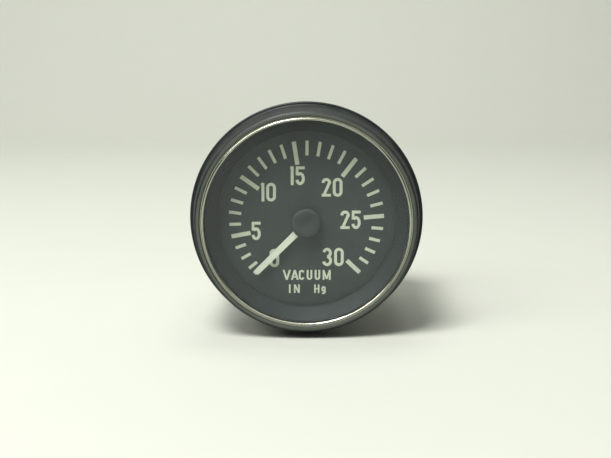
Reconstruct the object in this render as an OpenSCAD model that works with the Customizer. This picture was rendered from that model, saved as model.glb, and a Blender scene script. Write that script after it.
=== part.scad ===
// Round panel vacuum gauge with a flattened C-shaped Bourdon tube, a sector and pinion movement
// and a 270 degree pointer. Millimetres, +Z up, the face looks along -Y.
// The origin is on the case axis, in the plane of the panel that the bezel's flange lies on.
// Every piece is drawn in the dial frame, with x to the right, y up and z towards the viewer.

/* [Bezel and glass] */
// Width of the flange outside the bezel's wall
ledge_w = 0.9; // [0.6:0.05:2.5]
// Thickness of the flange's rim
flange_t = 1.2; // [1:0.1:1.6]
// Thickness of the rear lip that is rolled under the case's rim
lip_t = 0.8; // [0.6:0.1:0.9]
// Height of the bezel in front of the panel
bezel_h = 8.8; // [8:0.1:10.4]
// How far the bezel's wall leans in on its way to the front
wall_lean = 0.8; // [0.4:0.05:1.2]
// Thickness of the bezel's wall under its front shoulder
front_edge_w = 0.55; // [0.45:0.05:1.2]
// Thickness of the lip that the bezel's front turns in over the bright ring
front_lip_t = 0.4; // [0.3:0.05:0.6]
// Width of the bright ring
ring_w = 1.9; // [1.7:0.1:3]
// Width of the bright ring's round bead
bead_w = 0.7; // [0.6:0.05:0.9]
// Width of the groove between the bead and the bezel's front lip
groove_w = 0.2; // [0.1:0.05:0.3]
// Thickness of the bright ring between the glass and the lip
ring_flat_t = 0.3; // [0.2:0.05:0.4]
// Thickness of the bright ring's skirt
skirt_t = 0.35; // [0.25:0.05:0.45]
// Thickness of the glass
lens_t = 1.8; // [1.2:0.1:2.2]
// Thickness of the rubber ring under the glass
gasket_t = 0.5; // [0.3:0.1:0.8]

/* [Shade and dial] */
// How far the shade's cone reaches in from the window's edge
shade_reach = 3.2; // [2.4:0.1:4.5]
// Thickness of the shade cone
shade_t = 0.5; // [0.4:0.1:0.8]
// Height of the shade cone's foot over the case's rim
shade_rise = 1; // [0.6:0.1:1.6]
// Gap that lets the lamp's light in between the shade and the dial
light_gap = 1; // [0.6:0.1:1.2]
// Gap between the dial's edge and the case
dial_gap = 1.2; // [0.4:0.1:1.6]
// Thickness of the dial
dial_t = 0.8; // [0.5:0.1:1]
// Distance of the pointer's pivot below the case axis
pivot_drop = 0.9; // [0.5:0.01:2]

/* [Pointer] */
// Gap between the pointer's tip and the shade's small end, at the nearest
tip_gap = 3.4; // [1:0.01:6]
// Width of the pointer at the hub
pointer_root_w = 1.8; // [1.4:0.1:2.2]
// Width of the pointer at its tip
pointer_tip_w = 1.5; // [0.6:0.1:1.6]
// Thickness of the pointer's blade
blade_t = 0.3; // [0.2:0.05:0.5]
// Diameter of the pointer's hub
hub_d = 7.8; // [5:0.1:9]
// Height of the hub over the blade
hub_h = 1.3; // [1:0.1:1.8]
// Gap between dial and pointer
pointer_gap = 1; // [0.6:0.1:1.4]
// Angle of the scale's zero, counted from +X towards +Y
zero_angle = 225; // [215:1:235]
// Angle that the pointer turns from zero to full scale
scale_sweep = 270; // [250:1:280]

/* [Case] */
// Gap between the cap on the Bourdon tube and the case
case_gap = 2.7; // [2:0.1:6]
// Width of the case's turned-out rim
rim_w = 1.67; // [1.4:0.01:2.4]
// Depth of the case behind the panel
case_depth = 34; // [33:0.5:38]
// Thickness of the drawn steel
case_wall = 0.6; // [0.4:0.1:0.8]
// Radius of the case's rear edge
case_edge_r = 2.4; // [1.5:0.1:3]
// Radius between barrel and rim
rim_fillet_r = 0.8; // [0.5:0.05:0.8]

/* [Movement] */
// Gear module of sector and pinion
gear_module = 0.3; // [0.28:0.01:0.31]
// Teeth of the pinion
pinion_teeth = 12; // [12:1:13]
// Teeth that the sector's full circle would have
sector_circle_teeth = 96; // [92:1:98]
// Teeth cut on the sector
sector_teeth = 13; // [13:1:14]
// Direction of the sector's arbor as seen from the pinion
sector_dir = 221; // [216:1:224]
// Thickness of the sector
sector_t = 0.8; // [0.6:0.1:1]
// Length of the pinion
pinion_l = 2.2; // [1.6:0.1:2.6]
// Thickness of the movement plates
plate_t = 1.2; // [0.8:0.1:1.4]
// Room between the pinion and the plate in front of it
pinion_room = 1.9; // [1.6:0.1:2.6]
// Length of the posts behind the dial
post_l = 7.6; // [7:0.1:8.4]
// Diameter of the posts
post_d = 2; // [1.6:0.1:2.4]
// Diameter of the pillars between the plates
pillar_d = 2.4; // [2.2:0.1:2.8]
// Diameter of the arbors
arbor_d = 1.2; // [1:0.1:1.4]
// Diameter of the arbors' pivots
pivot_d = 0.8; // [0.6:0.1:0.9]
// Running clearance of pivots and pins, on the radius
run_gap = 0.05; // [0.02:0.01:0.09]

/* [Hairspring] */
// Turns of the hairspring
spring_turns = 4; // [3:0.5:5]
// Radius of its outer turn
spring_r = 4; // [3.6:0.1:4.2]
// Thickness of the ribbon
ribbon_t = 0.12; // [0.08:0.01:0.16]
// Height of the ribbon
ribbon_h = 0.5; // [0.3:0.1:0.6]
// Diameter of the collet
collet_d = 2.4; // [2.2:0.1:2.6]

/* [Bourdon tube and linkage] */
// Gap between the tube and the lamp's bulb inside it
bulb_gap = 1.1; // [0.6:0.1:4]
// Width of the flattened tube, along the case
tube_w = 9; // [7:0.1:9.4]
// Thickness of the flattened tube
tube_thick = 2.6; // [2:0.1:2.8]
// Wall of the tube
tube_wall = 0.4; // [0.2:0.05:0.5]
// Length of the sector's tail, from arbor to link pin
tail_l = 3.5; // [3.2:0.1:3.8]
// Direction in which the tube's tip moves under vacuum
tip_dir = -69.5; // [-74:0.5:-66]
// Distance between the link's holes
link_l = 8; // [7.4:0.1:8.6]
// Thickness of the link
link_t = 0.5; // [0.4:0.05:0.6]
// Diameter of the link's pins
link_pin_d = 0.8; // [0.6:0.1:1]
// Clearance of the link around the tip's pin, on the radius
open_pivot_gap = 0.2; // [0.18:0.01:0.3]

/* [Socket block and inlet] */
// Width of the socket block
block_w = 11; // [10:0.1:12]
// Diameter of the stem's straight thread
stem_d = 11.1; // [10.8:0.1:11.6]
// Diameter of the tapered pipe thread for the hose fitting
inlet_d = 10.28; // [9.8:0.01:10.5]
// Length of the pipe thread
inlet_l = 10; // [8:0.5:14]
// Diameter of the stem's bore
stem_bore_d = 3.2; // [2:0.1:4]
// Depth of each wrench flat
flat_depth = 0.8; // [0.5:0.1:1.2]
// Wall of the stem nut at its flats
stem_nut_wall = 0.95; // [0.8:0.05:1.4]
// Height of the stem nut
stem_nut_h = 4; // [3:0.1:4.6]

/* [Clamp] */
// Distance between the two case studs
stud_spacing = 32; // [31:0.5:34]
// Diameter of the case studs
stud_d = 4.8; // [4:0.1:5]
// Length of the studs behind the case
stud_l = 20; // [17:0.5:26]
// Width of the clamp's legs
clamp_w = 12; // [10:0.5:14]
// Thickness of the clamp's steel
clamp_t = 1.2; // [1:0.1:1.5]
// Thickness of the panel that the clamp is set to
panel_t = 3.2; // [2.4:0.1:4]
// Gap between the case barrel and each leg of the clamp
leg_gap = 1.2; // [1:0.1:1.6]
// Space between the case's back and the clamp's web
web_gap = 7; // [6.2:0.1:8]
// Wall of the stud nuts at their flats
stud_nut_wall = 1.6; // [1.2:0.1:2]
// Height of the stud nuts
stud_nut_h = 3.2; // [2.4:0.1:4]

/* [Lamp] */
// Diameter of the lamp socket's body
lamp_d = 11.2; // [10:0.1:11.6]
// Gap between the lamp socket and the stem's shoulder
lamp_gap = 0.7; // [0.4:0.1:2]
// Diameter of the bulb
bulb_d = 9.6; // [7:0.1:9.8]
// Length of the bulb in front of its socket
bulb_l = 15; // [12:0.5:17]

/* [Hidden] */
$fn = 96;

// Overrun of a cut past the face it leaves
over = 0.5;
// Gap of pieces that are soldered or pushed together
slip = 0.03;
// Gap that keeps moving pieces apart
air = 0.3;
arc_steps = 8;

// From the stem outwards: lamp, Bourdon tube, case and bezel, each clear of the one inside it
shoulder_w = 1.95;
shoulder_d = stem_d + 2 * shoulder_w;
lamp_y = shoulder_d / 2 + lamp_gap + lamp_d / 2;
tube_r = lamp_y + bulb_d / 2 + bulb_gap + tube_thick / 2;
cap_wall = 0.6;
case_d = 2 * (tube_r + tube_thick / 2 + cap_wall + case_gap + case_wall);
bezel_bore_d = case_d + 2 * (rim_w + slip);
wall_front_d = bezel_bore_d + 2 * front_edge_w;
wall_root_d = wall_front_d + 2 * wall_lean;
flange_d = wall_root_d + 2 * ledge_w;
window_d = bezel_bore_d - 2 * ring_w;
shade_d = window_d - 2 * shade_reach;
dial_d = case_d - 2 * (case_wall + dial_gap);
pointer_l = shade_d / 2 - pivot_drop - tip_gap;

// From the lower movement plate forwards: hairspring, collet and pinion
spring_lift = 0.5;
collet_lap = 0.25;
pinion_gap = 0.45;
collet_rise = spring_lift + ribbon_h + collet_lap;
plate_gap = collet_rise + pinion_gap + pinion_l + pinion_room;

// Levels along the case axis, towards the viewer
rim_front = lip_t + case_wall;
ring_top = bezel_h - front_lip_t;
lens_front = ring_top - ring_flat_t;
lens_back = lens_front - lens_t;
shade_top = lens_back - gasket_t;
shade_foot = rim_front + shade_rise;
dial_front = shade_foot - light_gap;
dial_back = dial_front - dial_t;
top_front = dial_back - post_l;
top_back = top_front - plate_t;
bottom_front = top_back - plate_gap;
bottom_back = bottom_front - plate_t;
case_back = -case_depth;
case_floor = case_back + case_wall;
blade_back = dial_front + pointer_gap;
blade_front = blade_back + blade_t;

// Radii of the bezel and the pieces in it
ledge_fillet_share = 4 / 9;
flange_edge_r = ledge_w * ledge_fillet_share;
wall_foot_r = ledge_w * ledge_fillet_share;
front_shoulder_r = 1;
lip_in_r = case_d / 2 + rim_fillet_r + air / 3;
bore_r = bezel_bore_d / 2;
rim_r = bore_r - slip;
skirt_in_r = bore_r - skirt_t;
lens_r = skirt_in_r - slip;
window_r = window_d / 2;
front_lip_in_r = window_r + bead_w + groove_w;
corner_cut = 0.3;

// Gearing
pressure_angle = 20;
backlash = 0.04;
pinion_r = gear_module * pinion_teeth / 2;
sector_r = gear_module * sector_circle_teeth / 2;
gear_ratio = sector_circle_teeth / pinion_teeth;
sector_swing = scale_sweep / gear_ratio;
tooth_angle = 360 / sector_circle_teeth;
mesh_dir = sector_dir - 180;
dedendum_share = 1.25;
pinion_addendum_share = 1;
sector_addendum_share = 0.7;
flank_steps = 4;

// Places in the plane of the dial
pinion_at = [0, -pivot_drop];
sector_at = pinion_at + (pinion_r + sector_r) * [cos(sector_dir), sin(sector_dir)];
tip_run = [cos(tip_dir), sin(tip_dir)];
tail_rest_dir = tip_dir - 90 - sector_swing / 2;
tail_at = polar(sector_at, tail_l, tail_rest_dir);
tip_pin_at = tail_at - link_l * tip_run;
pillar_reach = 11;
pinion_pillar_reach = 8.5;
pillar_turn = 65;
pillar_at = [
    polar(pinion_at, pinion_pillar_reach, mesh_dir),
    polar(sector_at, pillar_reach, mesh_dir - pillar_turn),
    polar(sector_at, pillar_reach, mesh_dir + pillar_turn)];
post_at = [(pillar_at[0] + pillar_at[2]) / 2, (sector_at + pillar_at[1]) / 2];
screw_reach = 7;
movement_screw_at = [polar(pinion_at, screw_reach, -90), polar(pinion_at, screw_reach, 0)];
lamp_at = [0, lamp_y];
stud_at = [[stud_spacing / 2, 0], [-stud_spacing / 2, 0]];

// Levels inside the movement
mid_play = 0.1;
spring_back = bottom_front + spring_lift;
collet_back = spring_back - collet_lap;
collet_h = ribbon_h + 2 * collet_lap;
pinion_back = bottom_front + collet_rise + pinion_gap;
sector_back = pinion_back + (pinion_l - sector_t) / 2;
sector_front = sector_back + sector_t;
link_front = sector_back - air;
link_back = link_front - link_t;
link_head_t = 0.25;
spring_post_d = 1.2;
spring_post_dir = -40;
spring_post_angle = (spring_post_d / 2 + slip) / spring_r * 180 / PI;
pivot_play = 0.2;

// Small sizes of plates, screws and pillars
plate_edge_r = 2.2;
screw_d = 1.6;
screw_head_d = 3;
screw_head_h = 0.8;
slot_w = 0.5;
slot_share = 0.5;
screw_depth = 3.5;
plate_screw_depth = 2;
bush_d = arbor_d + 2 * run_gap;
pivot_hole_d = pivot_d + 2 * run_gap;
dial_hole_d = 2.8;

// Socket block, tube and tip
shoulder_t = 2;
pad_h = 1.8;
block_margin = 1;
foot_margin = 1.2;
block_front = bottom_back - pad_h;
block_back = case_floor + shoulder_t;
tube_mid = block_front - block_margin - tube_w / 2;
block_top = shoulder_d / 2 - block_margin;
block_foot = -(tube_r + tube_thick / 2 + foot_margin);
ear_w = 6;
ear_t = 3;
ear_margin = 2.5;
tube_seat = 3.5;
tube_start = -90 + asin((block_w / 2 - tube_seat) / tube_r);
tip_at_angle = atan2(-tip_pin_at[1], -tip_pin_at[0]) + 180;
cap_l = 5;
cap_seat = 3;
cap_angle = cap_l / tube_r * 180 / PI;
cap_start = tip_at_angle - cap_angle / 2;
tube_end = cap_start + cap_seat / tube_r * 180 / PI;
seat_angle = (cap_seat + slip) / tube_r * 180 / PI;
lug_r = 1.1;
lug_front = link_back - air * 2;
cross_bore_d = 2.4;
bore_end_depth = 4;
cross_bore_top = block_front - bore_end_depth;
stem_seat = 8;
neck_step = 1.55;
stem_neck_d = stem_d - 2 * neck_step;

// Stem and its nut
stem_washer_t = 0.8;
stem_washer_w = 1.25;
stem_washer_d = stem_d + 2 * stem_washer_w;
stem_nut_w = stem_d + 2 * stem_nut_wall;
wrench_w = stem_d - 2 * flat_depth;
wrench_l = 4;
thread_spare = 2.2;
inlet_front = case_back - web_gap - clamp_t - thread_spare - wrench_l;
inlet_back = inlet_front - inlet_l;
inlet_edge = 0.6;

// Clamp, studs and lamp
leg_in = case_d / 2 + leg_gap;
bend_r = 1.6;
web_front = case_back - web_gap;
web_back = web_front - clamp_t;
web_hole_r = stem_d / 2 + air * 2;
web_boss_w = 3.65;
web_boss_r = web_hole_r + web_boss_w;
clamp_slot_gap = 0.25;
stud_head_w = 1;
stud_head_d = stud_d + 2 * stud_head_w;
stud_head_t = 1;
stud_nut_w = stud_d + 2 * stud_nut_wall;
lock_washer_t = 0.8;
lock_washer_w = 1.4;
lock_washer_d = stud_d + 2 * lock_washer_w;
lock_split_w = 0.6;
lamp_flange_t = 1.2;
lamp_flange_w = 0.9;
lamp_flange_d = lamp_d + 2 * lamp_flange_w;
lamp_depth = 4.5;
lamp_rear_l = 4.6;
lamp_rear_step = 0.6;
lamp_rear_d = lamp_d - 2 * lamp_rear_step;
bulb_neck = 1.8;
bulb_base_d = bulb_d - 2 * bulb_neck;
bulb_base_l = 3;
terminal_w = 2.4;
terminal_t = 0.8;
terminal_l = 4;
terminal_spread = 2.4;
terminal_rise = 2;

function polar(c, r, a) = c + r * [cos(a), sin(a)];
function arc(c, r, from, to) =
    [for (i = [0 : arc_steps]) polar(c, r, from + (to - from) * i / arc_steps)];
function involute_angle(a) = tan(a) * 180 / PI - a;
// Half the angle of a tooth at radius r, for a gear of pitch radius p
function tooth_half(r, p) =
    (PI * gear_module / 2 - backlash) / (2 * p) * 180 / PI + involute_angle(pressure_angle)
    - involute_angle(acos(min(1, p * cos(pressure_angle) / r)));

// From the dial frame to the frame of the part
module placed() {
    rotate([90, 0, 0]) children();
}

// A strip with round ends from p to q
module strip(p, q, r) {
    run = q - p;
    translate(p) circle(r = r);
    translate(q) circle(r = r);
    translate(p) rotate(atan2(run[1], run[0])) translate([0, -r]) square([norm(run), 2 * r]);
}

module slab(back, front) {
    translate([0, 0, back]) linear_extrude(front - back) children();
}

module round_slot(w, l) {
    square([w, l - w], center = true);
    for (side = [-1, 1]) translate([0, side * (l - w) / 2]) circle(d = w);
}

// A slotted screw with its head on the level seat, reaching down into the piece below
module slotted_screw(seat, depth, turn) {
    slot_deep = screw_head_h * slot_share;
    difference() {
        slab(seat, seat + screw_head_h) circle(d = screw_head_d);
        rotate(turn) translate([-screw_head_d, -slot_w / 2, seat + screw_head_h - slot_deep])
            cube([2 * screw_head_d, slot_w, slot_deep + over]);
    }
    slab(seat - depth, seat) circle(d = screw_d);
}

module hex_nut(back, h, w, hole) {
    slab(back, back + h) difference() {
        circle(d = w / cos(30), $fn = 6);
        circle(d = hole);
    }
}

module tooth(p, root, tip) {
    rise = [for (i = [0 : flank_steps]) max(root, p * cos(pressure_angle))
        + (tip - max(root, p * cos(pressure_angle))) * i / flank_steps];
    foot = tooth_half(rise[0], p);
    polygon(concat(
        [polar([0, 0], root - backlash, -foot)],
        [for (r = rise) polar([0, 0], r, -tooth_half(r, p))],
        [for (i = [flank_steps : -1 : 0]) polar([0, 0], rise[i], tooth_half(rise[i], p))],
        [polar([0, 0], root - backlash, foot)]));
}

// The sector of a disc of radius r between two angles
module pie(r, from, to) {
    far = 2 * r;
    intersection() {
        circle(r = r);
        polygon([[0, 0], far * [cos(from), sin(from)],
            far * [cos((from + to) / 2), sin((from + to) / 2)], far * [cos(to), sin(to)]]);
    }
}

// Black bezel, rolled under the case's rim at its back and turned in over the ring at its front
module bezel() {
    flange_r = flange_d / 2;
    root_r = wall_root_d / 2;
    front_r = wall_front_d / 2;
    color("#1d1d20") placed() rotate_extrude() polygon(concat(
        [[lip_in_r, 0]],
        arc([flange_r - flange_edge_r, flange_edge_r], flange_edge_r, -90, 0),
        arc([flange_r - flange_edge_r, flange_t - flange_edge_r], flange_edge_r, 0, 90),
        arc([root_r + wall_foot_r, flange_t + wall_foot_r], wall_foot_r, 270, 180),
        arc([front_r - front_shoulder_r, bezel_h - front_shoulder_r], front_shoulder_r, 0, 90),
        [[front_lip_in_r, bezel_h], [front_lip_in_r, ring_top], [bore_r - corner_cut, ring_top],
            [bore_r, ring_top - corner_cut], [bore_r, lip_t], [lip_in_r, lip_t]]));
}

// Bright ring with a round bead over the glass and a skirt in the bezel's bore
module trim_ring() {
    bead_r = bead_w / 2;
    color("#d9d6cb") placed() rotate_extrude() polygon(concat(
        [[window_r, lens_front]],
        arc([window_r + bead_r, ring_top], bead_r, 180, 0),
        [[bore_r - corner_cut, ring_top], [bore_r, ring_top - corner_cut],
            [bore_r, lens_back], [skirt_in_r, lens_back], [skirt_in_r, lens_front]]));
}

module lens() {
    color("#cfe3e6", 0.35) placed() slab(lens_back, lens_front) circle(r = lens_r);
}

module lens_gasket() {
    color("#151515") placed() slab(shade_top, lens_back) difference() {
        circle(r = lens_r);
        circle(r = window_r);
    }
}

// Black cone between glass and dial, standing on the case's rim
module shade_ring() {
    foot_r = shade_d / 2;
    ring_in = rim_r - shade_t;
    color("#17181a") placed() rotate_extrude() polygon([
        [rim_r, rim_front], [rim_r, shade_top], [window_r, shade_top],
        [foot_r, shade_foot + shade_t], [foot_r, shade_foot],
        [foot_r + shade_t, shade_foot], [window_r + shade_t, shade_top - shade_t],
        [ring_in, shade_top - shade_t], [ring_in, rim_front]]);
}

module dial() {
    color("#202224") placed() slab(dial_back, dial_front) difference() {
        circle(d = dial_d);
        translate(pinion_at) circle(d = dial_hole_d);
    }
}

module dial_posts() {
    color("#c9a94e") placed() for (p = post_at)
        translate(p) slab(top_front, dial_back) circle(d = post_d);
}

module pointer_blade() {
    neck_r = hub_d / 5;
    ring_r = hub_d / 3;
    color("#f1efe4") placed() translate(pinion_at) rotate(zero_angle)
        slab(blade_back, blade_front) difference() {
            union() {
                circle(r = ring_r);
                polygon([[0, -pointer_root_w / 2], [pointer_l, -pointer_tip_w / 2],
                    [pointer_l, pointer_tip_w / 2], [0, pointer_root_w / 2]]);
            }
            circle(r = neck_r);
        }
}

// Black boss, pushed on the arbor's end, that holds the blade under its cap
module pointer_hub() {
    hub_r = hub_d / 2;
    neck_r = hub_d / 5;
    neck_back = blade_back - pointer_gap / 2;
    edge_r = hub_h * 2 / 3;
    hub_front = blade_front + hub_h;
    bore_end = hub_front - hub_h / 3;
    color("#141415") placed() translate(pinion_at) rotate_extrude() polygon(concat(
        [[arbor_d / 2, neck_back], [neck_r, neck_back], [neck_r, blade_front],
            [hub_r, blade_front]],
        arc([hub_r - edge_r, hub_front - edge_r], edge_r, 0, 90),
        [[0, hub_front], [0, bore_end], [arbor_d / 2, bore_end]]));
}

// Drawn steel cup with a turned-out rim and the holes in its back
module case_shell() {
    r = case_d / 2;
    in_r = r - case_wall;
    in_edge_r = case_edge_r - case_wall;
    lip_edge_r = rim_fillet_r + case_wall;
    fillet_at = [r + rim_fillet_r, lip_t - rim_fillet_r];
    color("#9fa3a6") placed() difference() {
        rotate_extrude() polygon(concat(
            [[0, case_back]],
            arc([r - case_edge_r, case_back + case_edge_r], case_edge_r, -90, 0),
            arc(fillet_at, rim_fillet_r, 180, 90),
            [[rim_r, lip_t], [rim_r, rim_front]],
            arc(fillet_at, lip_edge_r, 90, 180),
            arc([in_r - in_edge_r, case_floor + in_edge_r], in_edge_r, 0, -90),
            [[0, case_floor]]));
        slab(case_back - over, case_floor + over) {
            circle(d = stem_d + 2 * slip);
            translate(lamp_at) circle(d = lamp_d + 2 * slip);
            for (p = stud_at) translate(p) circle(d = stud_d + 2 * slip);
        }
    }
}

// Outline that both movement plates share, around the pillars and the sector's arbor
module plate_outline() {
    corners = [pillar_at[0], pillar_at[2], sector_at, pillar_at[1]];
    polygon(corners);
    for (i = [0 : len(corners) - 1])
        strip(corners[i], corners[(i + 1) % len(corners)], plate_edge_r);
}

module top_plate() {
    color("#cdb05a") placed() slab(top_back, top_front) difference() {
        plate_outline();
        translate(pinion_at) circle(d = bush_d);
        translate(sector_at) circle(d = pivot_hole_d);
        for (p = pillar_at) translate(p) circle(d = screw_d);
    }
}

module bottom_plate() {
    color("#cdb05a") placed() slab(bottom_back, bottom_front) difference() {
        union() {
            plate_outline();
            strip(pinion_at, movement_screw_at[1], plate_edge_r);
        }
        translate(pinion_at) circle(d = pivot_hole_d);
        translate(sector_at) circle(d = pivot_hole_d);
        for (p = movement_screw_at) translate(p) circle(d = screw_d);
    }
}

module pillars() {
    color("#c9a94e") placed() for (p = pillar_at) translate(p) difference() {
        slab(bottom_front, top_back) circle(d = pillar_d);
        slab(top_back - plate_screw_depth, top_back + over) circle(d = screw_d);
    }
}

module plate_screws() {
    color("#b9bcc0") placed() for (i = [0 : len(pillar_at) - 1]) translate(pillar_at[i])
        slotted_screw(top_front, plate_t + plate_screw_depth, mesh_dir + i * tooth_angle * 8);
}

module movement_screws() {
    color("#b9bcc0") placed() for (p = movement_screw_at) translate(p)
        slotted_screw(bottom_front, plate_t + screw_depth, mesh_dir);
}

// Brass block between stem and tube, with the pad and ear that carry the movement
module socket_block() {
    pad_end = movement_screw_at[0][1] - ear_margin;
    ear_end = movement_screw_at[1][0] + ear_margin;
    ear_front = bottom_back;
    channel_angle = -90 - tube_start;
    color("#c4a24a") placed() difference() {
        union() {
            translate([-block_w / 2, block_foot, block_back])
                cube([block_w, block_top - block_foot, block_front - block_back]);
            translate([-block_w / 2, pad_end, block_front])
                cube([block_w, block_top - pad_end, ear_front - block_front]);
            translate([0, pinion_at[1] - ear_w / 2, ear_front - ear_t])
                cube([ear_end, ear_w, ear_t]);
        }
        slab(block_back - over, block_back + stem_seat) circle(d = stem_neck_d);
        slab(block_back, cross_bore_top) circle(d = cross_bore_d);
        translate([0, 0, tube_mid]) rotate([90, 0, 0]) slab(0, -block_foot + over)
            circle(d = cross_bore_d);
        rotate(tube_start) rotate_extrude(angle = 90) translate([tube_r, tube_mid])
            round_slot(tube_thick + 2 * slip, tube_w + 2 * slip);
        rotate(tube_start + channel_angle) rotate_extrude(angle = -channel_angle)
            translate([tube_r, tube_mid])
            round_slot(tube_thick - 2 * tube_wall, tube_w - 2 * tube_wall);
        for (p = movement_screw_at) translate(p)
            slab(bottom_back - screw_depth, bottom_back + over) circle(d = screw_d);
        translate(pinion_at) slab(bottom_back - plate_t, bottom_back + over)
            circle(d = pivot_hole_d * 2);
    }
}

// Plug that closes the block's cross bore
module bore_plug() {
    plug_l = -block_foot - tube_r - tube_thick / 2;
    color("#b08f3f") placed() translate([0, block_foot + plug_l, tube_mid]) rotate([90, 0, 0])
        slab(0, plug_l) circle(d = cross_bore_d);
}

// Turned brass stem: neck in the block, shoulder on the case's floor, threads behind the case
module inlet_stem() {
    wrench_cut = stem_d;
    color("#c8a850") placed() difference() {
        union() {
            slab(block_back, block_back + stem_seat) circle(d = stem_neck_d);
            slab(case_floor, block_back) circle(d = shoulder_d);
            slab(inlet_front, case_floor) circle(d = stem_d);
            slab(inlet_back + inlet_edge, inlet_front) circle(d = inlet_d);
            translate([0, 0, inlet_back])
                cylinder(h = inlet_edge, d1 = inlet_d - 2 * inlet_edge, d2 = inlet_d);
        }
        for (side = [-1, 1])
            translate([side * (wrench_w + wrench_cut) / 2, 0, inlet_front + wrench_l / 2])
                cube([wrench_cut, stem_d + over, wrench_l], center = true);
        slab(inlet_back - over, block_back + stem_seat + over) circle(d = stem_bore_d);
    }
}

module stem_washer() {
    color("#8d5a34") placed() slab(case_back - stem_washer_t, case_back) difference() {
        circle(d = stem_washer_d);
        circle(d = stem_d);
    }
}

module stem_nut() {
    color("#d0b264") placed()
        hex_nut(case_back - stem_washer_t - stem_nut_h, stem_nut_h, stem_nut_w, stem_d);
}

// Flattened tube, open into the block and closed by the tip's cap
module bourdon_tube() {
    color("#c58f55") placed() rotate(tube_start) rotate_extrude(angle = tube_end - tube_start)
        translate([tube_r, tube_mid]) difference() {
            round_slot(tube_thick, tube_w);
            round_slot(tube_thick - 2 * tube_wall, tube_w - 2 * tube_wall);
        }
}

// Cap on the tube's free end, with the lug and pin that drive the link
module tube_tip() {
    cap_thick = tube_thick + 2 * cap_wall;
    cap_w = tube_w + 2 * cap_wall;
    lug_at = polar([0, 0], tube_r, tip_at_angle);
    color("#d3b367") placed() {
        difference() {
            union() {
                rotate(cap_start) rotate_extrude(angle = cap_angle)
                    translate([tube_r, tube_mid]) square([cap_thick, cap_w], center = true);
                slab(tube_mid + tube_w / 2, lug_front) strip(lug_at, tip_pin_at, lug_r);
            }
            rotate(cap_start - cap_angle) rotate_extrude(angle = cap_angle + seat_angle)
                translate([tube_r, tube_mid]) round_slot(tube_thick + 2 * slip, tube_w + 2 * slip);
        }
        translate(tip_pin_at) slab(lug_front, link_front + air) circle(d = link_pin_d);
    }
}

module link() {
    link_edge_r = link_pin_d / 2 + open_pivot_gap + link_t;
    color("#b7babd") placed() slab(link_back, link_front) difference() {
        strip(tail_at, tip_pin_at, link_edge_r);
        translate(tail_at) circle(d = link_pin_d + 2 * run_gap);
        translate(tip_pin_at) circle(d = link_pin_d + 2 * open_pivot_gap);
    }
}

// Pin in the sector's tail, with its head behind the link
module link_pin() {
    head_front = link_back - mid_play / 2;
    color("#a9adb1") placed() translate(tail_at) {
        slab(head_front, sector_front + mid_play) circle(d = link_pin_d);
        slab(head_front - link_head_t, head_front) circle(d = link_pin_d * 1.75);
    }
}

// Toothed sector with a window in its web and the tail that the link pulls
module sector_gear() {
    root = sector_r - dedendum_share * gear_module;
    tip = sector_r + sector_addendum_share * gear_module;
    first = round(-sector_swing / 2 / tooth_angle - sector_teeth / 2) + 0.5;
    from = mesh_dir + (first - 0.75) * tooth_angle;
    to = mesh_dir + (first + sector_teeth - 0.25) * tooth_angle;
    arc_w = 1.5;
    arm_angle = 8;
    hub_r = arbor_d * 1.5;
    tail_r = link_pin_d / 2 + sector_t;
    color("#d8bd6a") placed() slab(sector_back, sector_front) difference() {
        union() {
            translate(sector_at) {
                circle(r = hub_r);
                difference() {
                    pie(root, from, to);
                    difference() {
                        pie(root - arc_w, from + arm_angle, to - arm_angle);
                        circle(r = 2 * hub_r);
                    }
                }
                for (i = [0 : sector_teeth - 1])
                    rotate(mesh_dir + (first + i) * tooth_angle) tooth(sector_r, root, tip);
            }
            strip(sector_at, tail_at, tail_r);
        }
        translate(sector_at) circle(d = arbor_d);
        translate(tail_at) circle(d = link_pin_d);
    }
}

module sector_arbor() {
    color("#a9adb1") placed() translate(sector_at) {
        slab(bottom_front + mid_play, top_back - mid_play) circle(d = arbor_d);
        slab(bottom_back + pivot_play, bottom_front + mid_play) circle(d = pivot_d);
        slab(top_back - mid_play, top_front - pivot_play) circle(d = pivot_d);
    }
}

// Pinion in mesh with the sector, a tooth on the line between the two arbors
module pinion() {
    root = pinion_r - dedendum_share * gear_module;
    tip = pinion_r + pinion_addendum_share * gear_module;
    color("#c2c5c8") placed() translate(pinion_at)
        slab(pinion_back, pinion_back + pinion_l) difference() {
            union() {
                circle(r = root);
                for (i = [0 : pinion_teeth - 1])
                    rotate(sector_dir + i * 360 / pinion_teeth) tooth(pinion_r, root, tip);
            }
            circle(d = arbor_d);
        }
}

module pointer_arbor() {
    color("#a9adb1") placed() translate(pinion_at) {
        slab(bottom_front + mid_play, blade_front + hub_h * 2 / 3) circle(d = arbor_d);
        slab(bottom_back + pivot_play, bottom_front + mid_play) circle(d = pivot_d);
    }
}

// Flat spiral from the collet to the stud
module hairspring() {
    steps = 24;
    count = spring_turns * steps;
    inner = collet_d / 2 + slip + ribbon_t / 2;
    pitch = (spring_r - inner) / count;
    centre = [for (i = [0 : count]) inner + pitch * i];
    start = spring_post_dir - spring_post_angle - 360 * spring_turns;
    color("#8f7f52") placed() translate(pinion_at) slab(spring_back, spring_back + ribbon_h)
        polygon(concat(
            [for (i = [0 : count])
                polar([0, 0], centre[i] + ribbon_t / 2, start + 360 * i / steps)],
            [for (i = [count : -1 : 0])
                polar([0, 0], centre[i] - ribbon_t / 2, start + 360 * i / steps)]));
}

module hairspring_collet() {
    color("#cdb05a") placed() translate(pinion_at)
        slab(collet_back, collet_back + collet_h) difference() {
            circle(d = collet_d);
            circle(d = arbor_d);
        }
}

// Stud on the lower plate that holds the spring's outer end
module hairspring_stud() {
    color("#cdb05a") placed() translate(polar(pinion_at, spring_r, spring_post_dir))
        slab(bottom_front, spring_back + ribbon_h + mid_play) circle(d = spring_post_d);
}

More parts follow.
